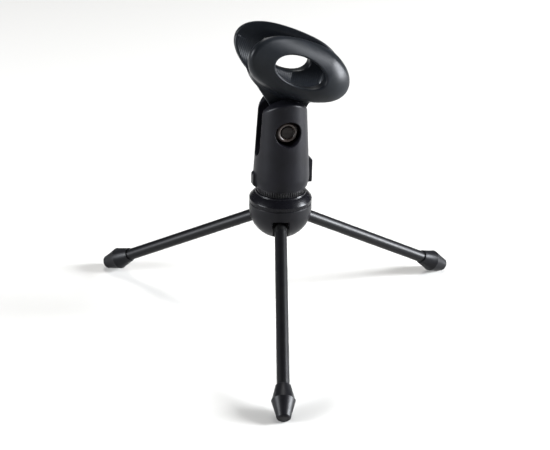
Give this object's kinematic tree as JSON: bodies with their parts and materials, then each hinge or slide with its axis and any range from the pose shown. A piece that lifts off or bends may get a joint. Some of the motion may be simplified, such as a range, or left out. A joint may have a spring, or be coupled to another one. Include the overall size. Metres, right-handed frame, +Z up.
{
  "type": "desktop tripod microphone stand",
  "caption": "Small desktop tripod microphone stand: folding rod legs with rubber feet, a domed hub, and a slotted base with an egg-shaped clip that tilts on a bolt.",
  "frame": {"origin": "middle of the footprint, on the floor", "axes": "+Z up; one leg points along -Y; +X to the right of it, along the widest spread of the other two legs"},
  "size_m": [0.1814, 0.158, 0.1504],
  "materials": {
    "hub_plastic": "satin moulded plastic, near black",
    "cover_plastic": "satin moulded plastic with a glossier shoulder",
    "base_plastic": "satin charcoal plastic with a fine moulded grain",
    "clip_plastic": "satin flexible plastic, bluish charcoal, soft highlights",
    "ring_plastic": "satin, with fine ribs",
    "knuckle_plastic": "satin moulded nylon",
    "rod_paint": "smooth satin black paint",
    "foot_rubber": "semi-gloss upper cone, duller lower cone",
    "plain_steel": "zinc plated",
    "dark_steel": "dark bronze-black oxide",
    "brass_insert": "turned",
    "collar_nylon": "dark nylon",
    "fibre": "pressed fibre"
  },
  "bodies": {
    "hub": {"hub_body": "hub_plastic", "hub_cover": "cover_plastic", "thread_stud": "plain_steel", "center_screw": "plain_steel", "leg_pin_front": "plain_steel", "leg_pin_right": "plain_steel", "leg_pin_left": "plain_steel"},
    "lock_ring": {"lock_ring": "ring_plastic"},
    "leg_front": {"leg_knuckle_front": "knuckle_plastic", "leg_rod_front": "rod_paint", "foot_front": "foot_rubber"},
    "leg_right": {"leg_knuckle_right": "knuckle_plastic", "leg_rod_right": "rod_paint", "foot_right": "foot_rubber"},
    "leg_left": {"leg_knuckle_left": "knuckle_plastic", "leg_rod_left": "rod_paint", "foot_left": "foot_rubber"},
    "head": {"clip_base": "base_plastic", "thread_insert": "brass_insert", "pivot_bolt": "dark_steel", "bolt_washer": "dark_steel", "nut_washer": "dark_steel", "pivot_nut": "dark_steel", "nut_collar": "collar_nylon", "friction_washer_near": "fibre", "friction_washer_far": "fibre"},
    "clip": {"mic_clip": "clip_plastic"}
  },
  "joints": [
    {"name": "leg_front_fold", "type": "hinge", "parent": "hub", "child": "leg_front", "pos_m": [0, 0.01508, 0.05423], "axis": [1, 0, 0], "range_deg": [0, 62]},
    {"name": "leg_right_fold", "type": "hinge", "parent": "hub", "child": "leg_right", "pos_m": [0.00857, 0.02993, 0.05423], "axis": [-0.5, 0.866, 0], "range_deg": [0, 62]},
    {"name": "leg_left_fold", "type": "hinge", "parent": "hub", "child": "leg_left", "pos_m": [-0.00857, 0.02993, 0.05423], "axis": [-0.5, -0.866, 0], "range_deg": [0, 62]},
    {"name": "lock_ring_turn", "type": "hinge", "parent": "hub", "child": "lock_ring", "pos_m": [0, 0.02498, 0.06983], "axis": [0, 0, 1], "range_deg": [-180, 180]},
    {"name": "head_swivel", "type": "hinge", "parent": "hub", "child": "head", "pos_m": [0, 0.02498, 0.07823], "axis": [0, 0, 1], "range_deg": [-180, 180]},
    {"name": "clip_tilt", "type": "hinge", "parent": "head", "child": "clip", "pos_m": [0, 0.02498, 0.10103], "axis": [-0.2504, 0.9681, 0], "range_deg": [-95, 75]}
  ]
}
